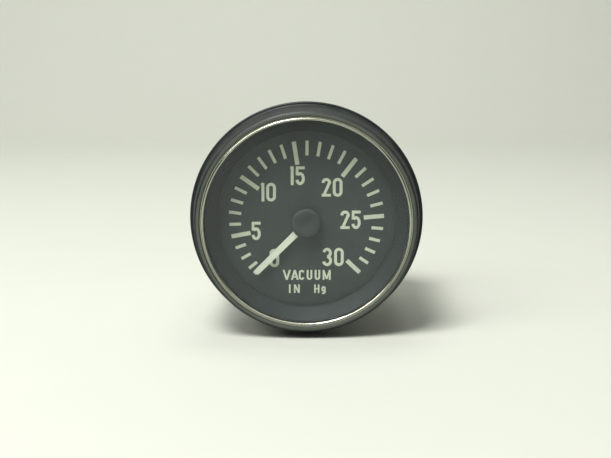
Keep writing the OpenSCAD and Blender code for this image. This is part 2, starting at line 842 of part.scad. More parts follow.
module case_studs() {
    color("#aeb2b5") placed() for (p = stud_at) translate(p) {
        slab(case_floor, case_floor + stud_head_t) circle(d = stud_head_d);
        slab(case_back - stud_l, case_floor) circle(d = stud_d);
    }
}

// U-shaped strap: its web lies across the studs and its legs reach forward to the panel
module clamp_bracket() {
    out = leg_in + clamp_t;
    reach = out + over;
    color("#b4b8ba") placed() difference() {
        intersection() {
            rotate([90, 0, 0]) translate([0, 0, -web_boss_r])
                linear_extrude(2 * web_boss_r) difference() {
                    u_outline(out, bend_r + clamp_t, web_back);
                    u_outline(leg_in, bend_r, web_front);
                }
            slab(web_back - over, -panel_t) {
                square([2 * reach, clamp_w], center = true);
                circle(r = web_boss_r);
            }
        }
        slab(web_back - over, web_front + over) {
            circle(r = web_hole_r);
            for (p = stud_at) translate(p) circle(d = stud_d + 2 * clamp_slot_gap);
        }
    }
}

// Outline of a U that reaches as far as out on each side, with round corners at the level floor
module u_outline(out, corner, floor) {
    translate([-out, floor + corner]) square([2 * out, -floor - corner]);
    translate([-out + corner, floor]) square([2 * (out - corner), corner]);
    for (side = [-1, 1]) translate([side * (out - corner), floor + corner]) circle(r = corner);
}

module lock_washers() {
    color("#9da1a4") placed() for (p = stud_at) translate(p)
        slab(web_back - lock_washer_t, web_back) difference() {
            circle(d = lock_washer_d);
            circle(d = stud_d + 2 * run_gap);
            translate([0, -lock_split_w / 2]) square([lock_washer_d, lock_split_w]);
        }
}

module stud_nuts() {
    color("#b9bcc0") placed() for (p = stud_at) translate(p)
        hex_nut(web_back - lock_washer_t - stud_nut_h, stud_nut_h, stud_nut_w,
            stud_d + 2 * run_gap);
}

// Push-in socket with its flange on the case's back
module lamp_socket() {
    color("#242424") placed() translate(lamp_at) difference() {
        union() {
            slab(case_back, case_back + lamp_depth) circle(d = lamp_d);
            slab(case_back - lamp_flange_t, case_back) circle(d = lamp_flange_d);
            slab(case_back - lamp_flange_t - lamp_rear_l, case_back - lamp_flange_t)
                circle(d = lamp_rear_d);
        }
        slab(case_back + lamp_depth - bulb_base_l, case_back + lamp_depth + over)
            circle(d = bulb_base_d);
    }
}

// Glass bulb with a round end and a straight base in the socket
module lamp_bulb() {
    bulb_r = bulb_d / 2;
    seat = case_back + lamp_depth;
    color("#e6e9e4", 0.6) placed() translate(lamp_at) rotate_extrude() polygon(concat(
        [[0, seat - bulb_base_l], [bulb_base_d / 2, seat - bulb_base_l], [bulb_base_d / 2, seat],
            [bulb_r, seat + bulb_neck]],
        arc([0, seat + bulb_l - bulb_r], bulb_r, 0, 90)));
}

module lamp_terminals() {
    rear = case_back - lamp_flange_t - lamp_rear_l;
    color("#c8a850") placed() for (side = [-1, 1])
        translate(lamp_at + [side * terminal_spread, terminal_rise])
            slab(rear - terminal_l, rear) square([terminal_t, terminal_w], center = true);
}

bezel();
trim_ring();
lens();
lens_gasket();
shade_ring();
dial();
dial_posts();
pointer_blade();
pointer_hub();
case_shell();
top_plate();
bottom_plate();
pillars();
plate_screws();
movement_screws();
socket_block();
bore_plug();
inlet_stem();
stem_washer();
stem_nut();
bourdon_tube();
tube_tip();
link();
link_pin();
sector_gear();
sector_arbor();
pinion();
pointer_arbor();
hairspring();
hairspring_collet();
hairspring_stud();
case_studs();
clamp_bracket();
lock_washers();
stud_nuts();
lamp_socket();
lamp_bulb();
lamp_terminals();
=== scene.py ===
import math

import bmesh
import bpy
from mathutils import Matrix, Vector


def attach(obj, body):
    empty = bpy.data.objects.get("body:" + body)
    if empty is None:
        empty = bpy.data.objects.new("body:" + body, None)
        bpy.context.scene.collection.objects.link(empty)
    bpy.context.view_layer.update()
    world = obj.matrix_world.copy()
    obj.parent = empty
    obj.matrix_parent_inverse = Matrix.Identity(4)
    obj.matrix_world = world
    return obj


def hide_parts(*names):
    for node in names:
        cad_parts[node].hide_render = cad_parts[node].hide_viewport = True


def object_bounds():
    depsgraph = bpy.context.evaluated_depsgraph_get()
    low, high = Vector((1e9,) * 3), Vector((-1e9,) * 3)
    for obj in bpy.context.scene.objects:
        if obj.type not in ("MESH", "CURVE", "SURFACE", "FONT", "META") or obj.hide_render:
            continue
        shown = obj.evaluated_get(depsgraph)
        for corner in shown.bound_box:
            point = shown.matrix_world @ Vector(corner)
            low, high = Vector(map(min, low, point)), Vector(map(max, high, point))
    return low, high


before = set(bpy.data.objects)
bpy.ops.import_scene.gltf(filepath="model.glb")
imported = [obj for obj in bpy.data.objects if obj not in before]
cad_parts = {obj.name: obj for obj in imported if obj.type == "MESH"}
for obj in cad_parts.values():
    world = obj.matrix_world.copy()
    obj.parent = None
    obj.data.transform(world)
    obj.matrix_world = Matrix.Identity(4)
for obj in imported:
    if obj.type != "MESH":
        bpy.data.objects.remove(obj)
cad_box = [list(corner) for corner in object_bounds()]


# The bench: pale card that lies level under the gauge and curls up behind it, three soft lamp
# boxes, an even surround, a dark screen and the camera. None of it belongs to the gauge.
def set_out(name, data):
    """An object in the scene that holds a mesh, a lamp or a camera."""
    thing = bpy.data.objects.new(name, data)
    bpy.context.scene.collection.objects.link(thing)
    return thing


def sheet_of(name, edges):
    """A sheet stretched over a row of edges, each a pair of points."""
    mesh = bpy.data.meshes.new(name)
    mesh.from_pydata([point for edge in edges for point in edge], [],
                     [(2 * i, 2 * i + 1, 2 * i + 3, 2 * i + 2) for i in range(len(edges) - 1)])
    return set_out(name, mesh)


def facing(place, aim):
    """The turn that makes a lamp or a camera at place look at aim."""
    return (Vector(aim) - Vector(place)).to_track_quat("-Z", "Y").to_euler()


def put_node(tree, kind, given=(), **settings):
    """One shader or geometry node with its settings; inputs are values or sockets to join."""
    node = tree.nodes.new(kind)
    for key, value in settings.items():
        setattr(node, key, value)
    for key, value in dict(given).items():
        if isinstance(value, bpy.types.NodeSocket):
            tree.links.new(value, node.inputs[key])
        else:
            node.inputs[key].default_value = value
    return node


def sums(tree, action, first, second=None, third=None):
    """One sum in a node tree; each value is a number or a socket."""
    values = {i: v for i, v in enumerate((first, second, third)) if v is not None}
    return put_node(tree, "ShaderNodeMath", values, operation=action).outputs[0]


def spread(tree, value, low, high, to_low=0.0, to_high=1.0):
    """A value's way from low to high, turned into a way from to_low to to_high and kept in it."""
    return put_node(tree, "ShaderNodeMapRange", {
        "Value": value, "From Min": low, "From Max": high,
        "To Min": to_low, "To Max": to_high}).outputs[0]


def own_place(tree, axis=None):
    """Where a point lies in the piece's own coordinates, or how far along one axis."""
    place = put_node(tree, "ShaderNodeTexCoord").outputs["Object"]
    if axis is None:
        return place
    return put_node(tree, "ShaderNodeSeparateXYZ", {0: place}).outputs[axis]


def blend_colours(tree, share, first, second):
    """Colour that goes from first to second with share; each is a socket or plain numbers."""
    return put_node(tree, "ShaderNodeMixRGB", {
        "Fac": share, "Color1": first, "Color2": second}).outputs["Color"]


def new_finish(name):
    """An empty material with its output node."""
    finish = bpy.data.materials.new(name)
    finish.use_nodes = True
    tree = finish.node_tree
    tree.nodes.clear()
    return finish, tree, tree.nodes.new("ShaderNodeOutputMaterial")


def end_finish(tree, out, given):
    """Ends a material with one plain surface shader."""
    shader = put_node(tree, "ShaderNodeBsdfPrincipled", given)
    tree.links.new(shader.outputs["BSDF"], out.inputs["Surface"])


card_gap = 0.00005
card_level = cad_box[0][2] - card_gap
card_bend = 0.30
card_bend_steps = 16
card_back = 0.75
card_front = -1.6
card_top = 1.5
card_half_width = 1.6
card_line = [(card_front, card_level)]
for step in range(card_bend_steps + 1):
    turn = math.radians(90 * step / card_bend_steps)
    card_line.append((card_back - card_bend + card_bend * math.sin(turn),
                      card_level + card_bend - card_bend * math.cos(turn)))
card_line.append((card_back, card_top))
card = sheet_of("bench_card", [((-card_half_width, y, z), (card_half_width, y, z))
                               for y, z in card_line])
card.data.shade_smooth()

card_dark_fibre = (0.69, 0.71, 0.62, 1)
card_pale_fibre = (0.71, 0.73, 0.64, 1)
card_grey = (0.36, 0.38, 0.36, 1)
grey_starts, grey_full = -0.11, -0.16
card_paint, tree, out = new_finish("pale_card")
fibres = put_node(tree, "ShaderNodeTexNoise", {
    "Vector": own_place(tree), "Scale": 60, "Detail": 4})
tones = blend_colours(tree, fibres.outputs["Fac"], card_dark_fibre, card_pale_fibre)
# In front of the picture's lower edge the card is grey, so that it throws less light back
ahead = spread(tree, own_place(tree, "Y"), grey_starts, grey_full)
# Mirrored in glass or metal, the whole card shows grey, so that it doesn't veil the dial
rays = put_node(tree, "ShaderNodeLightPath")
grey = sums(tree, "MAXIMUM", ahead, rays.outputs["Is Glossy Ray"])
end_finish(tree, out, {"Base Color": blend_colours(tree, grey, tones, card_grey),
                       "Roughness": 0.8})
card.data.materials.append(card_paint)

# What is seen or mirrored past the card is white, but only a little light comes from there
white = (1, 1, 1, 1)
bpy.context.scene.view_settings.view_transform = "Standard"
surround = bpy.data.worlds.new("even_surround")
bpy.context.scene.world = surround
surround.use_nodes = True
tree = surround.node_tree
tree.nodes.clear()
rays = put_node(tree, "ShaderNodeLightPath")
seen = sums(tree, "MAXIMUM", rays.outputs["Is Camera Ray"], rays.outputs["Is Glossy Ray"])
seen = sums(tree, "MAXIMUM", seen, rays.outputs["Is Transmission Ray"])
plain_light = put_node(tree, "ShaderNodeBackground", {"Color": white, "Strength": 0.17})
white_back = put_node(tree, "ShaderNodeBackground", {"Color": white, "Strength": 1.0})
both = put_node(tree, "ShaderNodeMixShader", {
    0: seen, 1: plain_light.outputs[0], 2: white_back.outputs[0]})
tree.links.new(both.outputs[0], put_node(tree, "ShaderNodeOutputWorld").inputs["Surface"])


def soft_box(name, place, aim, size, watts):
    """A square studio lamp box that faces aim."""
    lamp = bpy.data.lights.new(name, "AREA")
    lamp.shape = "SQUARE"
    lamp.size = size
    lamp.energy = watts
    holder = set_out(name, lamp)
    holder.location = place
    holder.rotation_euler = facing(place, aim)


gauge_middle = (0, 0, 0)
card_behind = (0, 0.72, 0.20)
soft_box("key_box", (-0.20, -0.30, 0.70), gauge_middle, 0.30, 5.9)
soft_box("back_box", (0.0, 0.22, 0.80), card_behind, 0.40, 1.9)
soft_box("side_box", (-0.52, -0.34, 0.52), gauge_middle, 0.34, 1.6)

# A dark screen stands round the bench behind the camera. Only bright metal and gloss mirror it.
screen_reach = 1.3
screen_top = 0.80
screen_dark_above = 0.30
screen_half_turn, screen_step = 105, 6
screen_turns = [math.radians(a)
                for a in range(-screen_half_turn, screen_half_turn + 1, screen_step)]
screen_line = [(screen_reach * math.sin(a), -screen_reach * math.cos(a)) for a in screen_turns]
screen = sheet_of("dark_screen", [((x, y, card_level), (x, y, screen_top))
                                  for x, y in screen_line])
screen.visible_camera = False
screen.visible_diffuse = False
screen.visible_transmission = False
screen.visible_shadow = False
screen_paint, tree, out = new_finish("dark_screen")
rise = spread(tree, own_place(tree, "Z"), card_level, screen_dark_above)
cloth = put_node(tree, "ShaderNodeBsdfDiffuse", {
    "Color": blend_colours(tree, rise, card_grey, (0.09, 0.10, 0.10, 1))})
tree.links.new(cloth.outputs["BSDF"], out.inputs["Surface"])
screen.data.materials.append(screen_paint)

camera_aim = (-0.00024, 0, -0.00299)
camera_rise = math.radians(10.2)
camera_reach = 0.275
camera_data = bpy.data.cameras.new("camera")
camera_data.lens = 62.33
camera_data.sensor_width = 36
camera_data.clip_start = 0.01
camera_data.clip_end = 10
camera = set_out("camera", camera_data)
camera.location = (0, -camera_reach * math.cos(camera_rise), camera_reach * math.sin(camera_rise))
camera.rotation_euler = facing(camera.location, camera_aim)
bpy.context.scene.camera = camera


# The movement's brass: top and bottom plates, pillars, the block with the stem's seat, the plug,
# the tube's tip, the sector and the hairspring's collet. All are turned or milled from brass and
# left bright, with fine tool marks and a little tarnish away from the edges.
def new_effect(name, given, results):
    """A shader node group with named inputs (name, kind, value) and outputs (name, kind)."""
    effect = bpy.data.node_groups.new(name, "ShaderNodeTree")
    for label, kind, value in given:
        effect.interface.new_socket(name=label, in_out="INPUT", socket_type=kind)\
            .default_value = value
    for label, kind in results:
        effect.interface.new_socket(name=label, in_out="OUTPUT", socket_type=kind)
    return (effect, effect.nodes.new("NodeGroupInput").outputs,
            effect.nodes.new("NodeGroupOutput").inputs)


FLOAT = "NodeSocketFloat"
# Fine grain: two sizes of noise in the piece's own coordinates, as a height and as a tone
fine_grain, given, result = new_effect(
    "fine_grain", [("Scale", FLOAT, 900), ("Stretch", FLOAT, 1)],
    [("Height", FLOAT), ("Tone", FLOAT)])
place = own_place(fine_grain)
squeeze = put_node(fine_grain, "ShaderNodeCombineXYZ", {0: 1, 1: 1, 2: given["Stretch"]})
drawn = put_node(fine_grain, "ShaderNodeVectorMath", {
    0: place, 1: squeeze.outputs[0]}, operation="MULTIPLY")
small = put_node(fine_grain, "ShaderNodeTexNoise", {
    "Vector": drawn.outputs[0], "Scale": given["Scale"], "Detail": 3, "Roughness": 0.6})
broad = put_node(fine_grain, "ShaderNodeTexNoise", {
    "Vector": place, "Scale": 130, "Detail": 3, "Roughness": 0.55})
fine_grain.links.new(small.outputs["Fac"], result["Height"])
fine_grain.links.new(broad.outputs["Fac"], result["Tone"])

# Edge wear: where a rounded copy of the surface leans away from the real one there is an edge,
# and a noise breaks the wear up
edge_wear, given, result = new_effect(
    "edge_wear", [("Reach", FLOAT, 0.00015), ("Breakup", FLOAT, 1400)], [("Mask", FLOAT)])
rounded = put_node(edge_wear, "ShaderNodeBevel", {"Radius": given["Reach"]}, samples=6)
real = put_node(edge_wear, "ShaderNodeNewGeometry")
lean = put_node(edge_wear, "ShaderNodeVectorMath", {
    0: rounded.outputs[0], 1: real.outputs["Normal"]}, operation="DOT_PRODUCT")
edge = spread(edge_wear, lean.outputs["Value"], 0.985, 0.86)
chips = put_node(edge_wear, "ShaderNodeTexNoise", {
    "Vector": own_place(edge_wear), "Scale": given["Breakup"], "Detail": 2})
chips = spread(edge_wear, chips.outputs["Fac"], 0.42, 0.58)
edge_wear.links.new(sums(edge_wear, "MULTIPLY", edge, chips), result["Mask"])

# Settled dust: more of it on what faces up, in soft patches
settled_dust, given, result = new_effect(
    "settled_dust", [("Amount", FLOAT, 0.2)], [("Mask", FLOAT)])
where = put_node(settled_dust, "ShaderNodeTexCoord")
up = put_node(settled_dust, "ShaderNodeSeparateXYZ", {0: where.outputs["Normal"]})
up = spread(settled_dust, up.outputs["Z"], -0.2, 1, 0.25)
patch = put_node(settled_dust, "ShaderNodeTexNoise", {
    "Vector": where.outputs["Object"], "Scale": 260, "Detail": 5, "Roughness": 0.7})
patch = spread(settled_dust, patch.outputs["Fac"], 0.35, 0.8)
mask = sums(settled_dust, "MULTIPLY", sums(settled_dust, "MULTIPLY", up, patch), given["Amount"])
settled_dust.links.new(mask, result["Mask"])

# Tool marks: fine rings round the gauge's axis, as a lathe leaves them on the centred pieces
lathe_rings, given, result = new_effect(
    "lathe_rings", [("Scale", FLOAT, 5000)], [("Height", FLOAT)])
place = own_place(lathe_rings)
flat = put_node(lathe_rings, "ShaderNodeVectorMath", {
    0: place, 1: (1, 0, 1)}, operation="MULTIPLY")
from_axis = put_node(lathe_rings, "ShaderNodeVectorMath", {0: flat.outputs[0]},
                     operation="LENGTH")
along = put_node(lathe_rings, "ShaderNodeSeparateXYZ", {0: place})
reach = sums(lathe_rings, "ADD", from_axis.outputs["Value"], along.outputs["Y"])
rings = put_node(lathe_rings, "ShaderNodeTexNoise", {
    "W": reach, "Scale": given["Scale"], "Detail": 3}, noise_dimensions="1D")
lathe_rings.links.new(rings.outputs["Fac"], result["Height"])


def use_effect(tree, effect, **given):
    """Places an effect in a material with its own values."""
    node = tree.nodes.new("ShaderNodeGroup")
    node.node_tree = effect
    for label, value in given.items():
        node.inputs[label].default_value = value
    return node


def brightened(colour, times, more=0.0):
    """Plain colour numbers, raised and kept below white."""
    return [min(1, times * c + more) for c in colour]


def fine_bump(tree, height, depth, strength):
    """A surface that leans a little with a height of the given depth in metres."""
    return put_node(tree, "ShaderNodeBump", {
        "Height": height, "Distance": depth, "Strength": strength}).outputs[0]


def bare_metal(name, bright, dull, rough, stretch=1.0, marks=0.00002, rings=False, dust=0.12):
    """A bare metal: its bright and its dull colour, roughness, grain stretched along Z, marks."""
    finish, tree, out = new_finish(name)
    grain = use_effect(tree, fine_grain, Scale=1500, Stretch=stretch)
    wear = use_effect(tree, edge_wear)
    dirt = use_effect(tree, settled_dust, Amount=dust)
    tone = grain.outputs["Tone"]
    colour = blend_colours(tree, spread(tree, tone, 0.35, 0.7), bright, dull)
    colour = blend_colours(tree, wear.outputs["Mask"], colour, brightened(bright, 1.25))
    colour = blend_colours(tree, dirt.outputs["Mask"], colour, (0.30, 0.28, 0.24, 1))
    height = grain.outputs["Height"]
    if rings:
        turned_marks = use_effect(tree, lathe_rings)
        height = sums(tree, "ADD", height, turned_marks.outputs["Height"])
    end_finish(tree, out, {
        "Base Color": colour, "Metallic": 1.0,
        "Roughness": spread(tree, tone, 0.3, 0.7, rough * 0.75, rough * 1.35),
        "Normal": fine_bump(tree, height, marks, 0.6)})
    return finish


def dress(finish, *nodes):
    """Gives CAD nodes a finish through their material slots."""
    for node in nodes:
        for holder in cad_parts[node].material_slots:
            holder.material = finish


milled_brass = bare_metal("milled_brass", (0.72, 0.53, 0.23, 1), (0.52, 0.36, 0.15, 1), 0.30)
turned_brass = bare_metal("turned_brass", (0.76, 0.57, 0.26, 1), (0.58, 0.41, 0.17, 1), 0.24,
                          rings=True)
dress(milled_brass, "top_plate", "bottom_plate", "pillars", "socket_block", "bore_plug",
      "tube_tip", "sector_gear", "hairspring_stud", "dial_posts")
dress(turned_brass, "hairspring_collet")


# Bourdon tube and hairspring: bronze strip, the tube drawn flat and bent, the spring wound from
# ribbon. Both keep the warm, slightly browned colour of drawn bronze.
drawn_bronze = bare_metal("drawn_bronze", (0.66, 0.38, 0.19, 1), (0.45, 0.25, 0.12, 1), 0.28,
                          stretch=0.2)
dress(drawn_bronze, "bourdon_tube", "hairspring")


# Steel pieces of the movement: screws, link and its pin, arbors and pinion. The round ones are
# turned from silver steel, the link is stamped from strip, and all are left ground and bright.
bright_steel = bare_metal("bright_steel", (0.62, 0.62, 0.61, 1), (0.47, 0.47, 0.46, 1), 0.22)
dress(bright_steel, "plate_screws", "movement_screws", "link", "link_pin", "sector_arbor",
      "pinion", "pointer_arbor")


# Inlet stem: turned from brass rod, with a fine thread for the nut, two wrench flats and a taper
# pipe thread on its end, bored through. A fibre washer and a brass nut hold it in the case.
thread_crest = 1.15  # above 1 the thread's crests are flat
rows_per_pitch = 8
sharp_from = math.radians(32)
touching = 1e-8


def turned(name, rows, steps=192, flat=None):
    """A closed piece turned about the gauge's axis, given in millimetres of the dial frame.
    Each row is (radius, level) or (radius, level, thread depth, pitch). A flat is (half width,
    lowest level, highest level) for two milled flats at the sides."""
    shape = bmesh.new()
    grid = []
    for row in rows:
        radius, level = row[:2]
        depth, pitch = row[2:] if len(row) > 2 else (0, 1)
        ring = []
        for i in range(steps):
            turn = 2 * math.pi * i / steps
            phase = (level / pitch - i / steps) % 1
            r = min(radius, radius - depth * (1 - abs(2 * phase - 1) * thread_crest))
            x, z = r * math.cos(turn), r * math.sin(turn)
            if flat and flat[1] <= level <= flat[2]:
                x = max(-flat[0], min(flat[0], x))
            ring.append(shape.verts.new((x / 1000, -level / 1000, z / 1000)))
        grid.append(ring)
    for first, second in zip(grid, grid[1:] + grid[:1]):
        for i in range(steps):
            shape.faces.new((first[i], first[(i + 1) % steps],
                             second[(i + 1) % steps], second[i]))
    bmesh.ops.remove_doubles(shape, verts=shape.verts, dist=touching)
    bmesh.ops.dissolve_degenerate(shape, edges=shape.edges, dist=touching)
    for loose in [edge for edge in shape.edges if not edge.link_faces]:
        shape.edges.remove(loose)
    bmesh.ops.recalc_face_normals(shape, faces=shape.faces)
    mesh = bpy.data.meshes.new(name)
    shape.to_mesh(mesh)
    shape.free()
    mesh.shade_smooth()
    mesh.set_sharp_from_angle(angle=sharp_from)
    return set_out(name, mesh)


def curve_round(centre, radius, start, end, steps=8):
    """Points of a rounding, from one angle to the other, counted from outwards to the front."""
    return [(centre[0] + radius * math.cos(math.radians(start + (end - start) * i / steps)),
             centre[1] + radius * math.sin(math.radians(start + (end - start) * i / steps)))
            for i in range(steps + 1)]


def thread_rows(radius, top, bottom, pitch, depth, lean=0.0):
    """Rows of a thread that runs down from level top to level bottom, fading in and out."""
    count = max(2, round((top - bottom) / pitch * rows_per_pitch))
    rows = []
    for i in range(count + 1):
        share = i / count
        fade = min(1, share * count / rows_per_pitch, (1 - share) * count / rows_per_pitch)
        level = top + (bottom - top) * share
        rows.append((radius - lean * share, level, depth * fade, pitch))
    return rows


stem = turned("threaded_stem", (
    [(1.6, -58.4), (1.6, -23.9), (4.0, -23.9), (4.0, -31.4), (7.5, -31.4), (7.5, -33.4),
     (5.55, -33.4), (5.55, -38.9)]
    + thread_rows(5.55, -39.0, -44.0, 0.9, 0.42)
    + [(5.55, -44.1), (5.55, -44.4), (5.55, -44.41), (5.55, -48.1), (5.3, -48.4), (4.7, -48.4),
       (4.7, -48.7)]
    + thread_rows(5.14, -48.9, -57.9, 0.941, 0.62, lean=0.28)
    + [(4.6, -58.1), (4.1, -58.4), (2.1, -58.4), (1.6, -58.1)]), flat=(4.75, -48.45, -44.41))
stem.data.materials.append(turned_brass)
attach(stem, "case")
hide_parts("inlet_stem")

fibre, tree, out = new_finish("red_fibre")
grain = use_effect(tree, fine_grain, Scale=2600)
dirt = use_effect(tree, settled_dust, Amount=0.2)
colour = blend_colours(tree, grain.outputs["Tone"], (0.33, 0.12, 0.06, 1), (0.22, 0.08, 0.05, 1))
colour = blend_colours(tree, dirt.outputs["Mask"], colour, (0.30, 0.26, 0.22, 1))
end_finish(tree, out, {"Base Color": colour, "Roughness": 0.75,
                       "Normal": fine_bump(tree, grain.outputs["Height"], 0.00004, 1.0)})
dress(fibre, "stem_washer")
dress(turned_brass, "stem_nut")


# Case: a cup drawn from steel sheet and zinc plated, with two studs pressed through its back for
# the clamp. The studs' threads are rolled.
zinc_plate = bare_metal("zinc_plate", (0.56, 0.57, 0.57, 1), (0.42, 0.43, 0.44, 1), 0.36,
                        stretch=0.35, marks=0.00001, dust=0.25)
dress(zinc_plate, "case_shell")


def shape_tree(name, values, finish):
    """A geometry tree that makes a shape from named values in one finish, and what it runs on."""
    tree = bpy.data.node_groups.new(name, "GeometryNodeTree")
    runs_on = []
    for label, kind, value in ([(label, FLOAT, value) for label, value in values]
                               + [("Finish", "NodeSocketMaterial", finish)]):
        socket = tree.interface.new_socket(name=label, in_out="INPUT", socket_type=kind)
        socket.default_value = value
        runs_on.append((socket.identifier, value))
    tree.interface.new_socket(name="Geometry", in_out="OUTPUT",
                              socket_type="NodeSocketGeometry")
    return tree, tree.nodes.new("NodeGroupInput").outputs, runs_on


stud_tree, given, stud_values = shape_tree("rolled_stud", (
    ("Radius", 0.0024), ("Pitch", 0.0008), ("Depth", 0.00042), ("Head", 0.0324), ("Tip", 0.054),
    ("Spread", 0.016), ("Head radius", 0.0034), ("Head height", 0.001)), zinc_plate)
# The rod is a grid of turns by rows, rolled into a tube whose radius follows the thread. Its
# thread starts and its end is chamfered at shares of its length.
thread_starts, thread_fades, chamfer_starts, chamfer_slope = 0.14, 14, 0.975, 0.02
rod_turns, rod_rows, before_end = 49, 222, 0.4999
length = sums(stud_tree, "SUBTRACT", given["Tip"], given["Head"])
rod = put_node(stud_tree, "GeometryNodeMeshGrid", {
    "Size X": 1.0, "Size Y": 1.0, "Vertices X": rod_turns, "Vertices Y": rod_rows})
spot = put_node(stud_tree, "ShaderNodeSeparateXYZ", {
    0: put_node(stud_tree, "GeometryNodeInputPosition").outputs[0]})
turn_share = sums(stud_tree, "ADD", spot.outputs["X"], 0.5)
row_share = sums(stud_tree, "ADD", spot.outputs["Y"], 0.5)
level = sums(stud_tree, "MULTIPLY", row_share, length)
pitches = sums(stud_tree, "DIVIDE", level, given["Pitch"])
thread_at = sums(stud_tree, "SUBTRACT", pitches, turn_share)
wave = sums(stud_tree, "PINGPONG", sums(stud_tree, "MULTIPLY", thread_at, 2), 1)
start = sums(stud_tree, "SUBTRACT", row_share, thread_starts)
start = sums(stud_tree, "MULTIPLY", start, thread_fades)
start = put_node(stud_tree, "ShaderNodeClamp", {0: start}).outputs[0]
cut = sums(stud_tree, "MULTIPLY", sums(stud_tree, "MULTIPLY", wave, start), given["Depth"])
end_in = sums(stud_tree, "SUBTRACT", row_share, chamfer_starts)
end_in = sums(stud_tree, "MAXIMUM", sums(stud_tree, "MULTIPLY", end_in, chamfer_slope), 0)
radius = sums(stud_tree, "SUBTRACT", sums(stud_tree, "SUBTRACT", given["Radius"], cut), end_in)
in_head = put_node(stud_tree, "FunctionNodeCompare", {
    0: level, 1: given["Head height"]}, operation="LESS_THAN").outputs[0]
radius = put_node(stud_tree, "GeometryNodeSwitch", {
    0: in_head, 1: radius, 2: given["Head radius"]}, input_type="FLOAT").outputs[0]
# The first and the last row close to a point
between_ends = put_node(stud_tree, "FunctionNodeCompare", {
    0: sums(stud_tree, "ABSOLUTE", spot.outputs["Y"]), 1: before_end},
    operation="LESS_THAN").outputs[0]
radius = put_node(stud_tree, "GeometryNodeSwitch", {
    0: between_ends, 1: 0.0, 2: radius}, input_type="FLOAT").outputs[0]
angle = sums(stud_tree, "MULTIPLY", turn_share, 2 * math.pi)
rolled = put_node(stud_tree, "ShaderNodeCombineXYZ", {
    0: sums(stud_tree, "MULTIPLY", radius, sums(stud_tree, "COSINE", angle)),
    1: sums(stud_tree, "ADD", level, given["Head"]),
    2: sums(stud_tree, "MULTIPLY", radius, sums(stud_tree, "SINE", angle))})
rod = put_node(stud_tree, "GeometryNodeSetPosition", {
    "Geometry": rod.outputs[0], "Position": rolled.outputs[0]})
rod = put_node(stud_tree, "GeometryNodeMergeByDistance", {
    "Geometry": rod.outputs[0], "Distance": 0.000001})
ends = put_node(stud_tree, "GeometryNodeMeshLine", {
    "Count": 2, "Start Location": put_node(stud_tree, "ShaderNodeCombineXYZ", {
        0: sums(stud_tree, "MULTIPLY", given["Spread"], -1)}).outputs[0],
    "Offset": put_node(stud_tree, "ShaderNodeCombineXYZ", {
        0: sums(stud_tree, "MULTIPLY", given["Spread"], 2)}).outputs[0]})
pair = put_node(stud_tree, "GeometryNodeInstanceOnPoints", {
    "Points": ends.outputs[0], "Instance": rod.outputs[0]})
pair = put_node(stud_tree, "GeometryNodeRealizeInstances", {0: pair.outputs[0]})


def worked_out(name, tree, shape, finish, runs_on):
    """Ends a geometry tree, runs it on an empty piece and keeps the result as a plain mesh."""
    shape = put_node(tree, "GeometryNodeSetMaterial", {"Geometry": shape, "Material": finish})
    tree.links.new(shape.outputs[0], tree.nodes.new("NodeGroupOutput").inputs[0])
    piece = set_out(name, bpy.data.meshes.new(name))
    work = piece.modifiers.new("shape", "NODES")
    work.node_group = tree
    for identifier, value in runs_on:
        work[identifier] = value
    bpy.context.view_layer.update()
    done = bpy.data.meshes.new_from_object(
        piece.evaluated_get(bpy.context.evaluated_depsgraph_get()))
    piece.modifiers.remove(work)
    piece.data = done
    tidy = bmesh.new()
    tidy.from_mesh(done)
    bmesh.ops.dissolve_degenerate(tidy, edges=tidy.edges, dist=touching)
    bmesh.ops.recalc_face_normals(tidy, faces=tidy.faces)
    tidy.to_mesh(done)
    tidy.free()
    done.shade_smooth()
    done.set_sharp_from_angle(angle=sharp_from)
    return piece


studs = worked_out("case_studs_threaded", stud_tree, pair.outputs[0], given["Finish"], stud_values)
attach(studs, "case")
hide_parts("case_studs")


# Lamp: a push-in holder moulded in black phenolic with two brass terminals, and a small clear
# bulb inside the case that lights the gap round the dial.
def moulded(name, colour, rough, dust=0.15, gloss=0.5, depth=0.000004):
    """A moulded or painted dark finish with fine grain, worn edges and dust."""
    finish, tree, out = new_finish(name)
    grain = use_effect(tree, fine_grain, Scale=6000)
    wear = use_effect(tree, edge_wear)
    dirt = use_effect(tree, settled_dust, Amount=dust)
    tone = grain.outputs["Tone"]
    base = blend_colours(tree, tone, colour, brightened(colour, 1.6))
    base = blend_colours(tree, wear.outputs["Mask"], base, brightened(colour, 3, 0.03))
    base = blend_colours(tree, dirt.outputs["Mask"], base, (0.26, 0.25, 0.22, 1))
    end_finish(tree, out, {
        "Base Color": base, "Specular IOR Level": gloss,
        "Roughness": spread(tree, tone, 0.3, 0.7, rough * 0.85, rough * 1.15),
        "Normal": fine_bump(tree, grain.outputs["Height"], depth, 0.5)})
    return finish


phenolic = moulded("black_phenolic", (0.018, 0.017, 0.016, 1), 0.42)
dress(phenolic, "lamp_socket")
dress(milled_brass, "lamp_terminals")


def clear_glass(name, tint, haze):
    """Clear glass that lets the lamps' light through to what lies behind it."""
    finish, tree, out = new_finish(name)
    dirt = use_effect(tree, settled_dust, Amount=0.3)
    colour = blend_colours(tree, dirt.outputs["Mask"], tint, (0.92, 0.93, 0.88, 1))
    pane = put_node(tree, "ShaderNodeBsdfPrincipled", {
        "Base Color": colour, "Roughness": haze, "IOR": 1.5, "Transmission Weight": 1.0})
    clear = put_node(tree, "ShaderNodeBsdfTransparent", {"Color": (0.94, 0.96, 0.94, 1)})
    rays = put_node(tree, "ShaderNodeLightPath")
    passing = sums(tree, "MAXIMUM", rays.outputs["Is Shadow Ray"], rays.outputs["Is Diffuse Ray"])
    both = put_node(tree, "ShaderNodeMixShader", {
        0: passing, 1: pane.outputs[0], 2: clear.outputs[0]})
    tree.links.new(both.outputs[0], out.inputs["Surface"])
    return finish


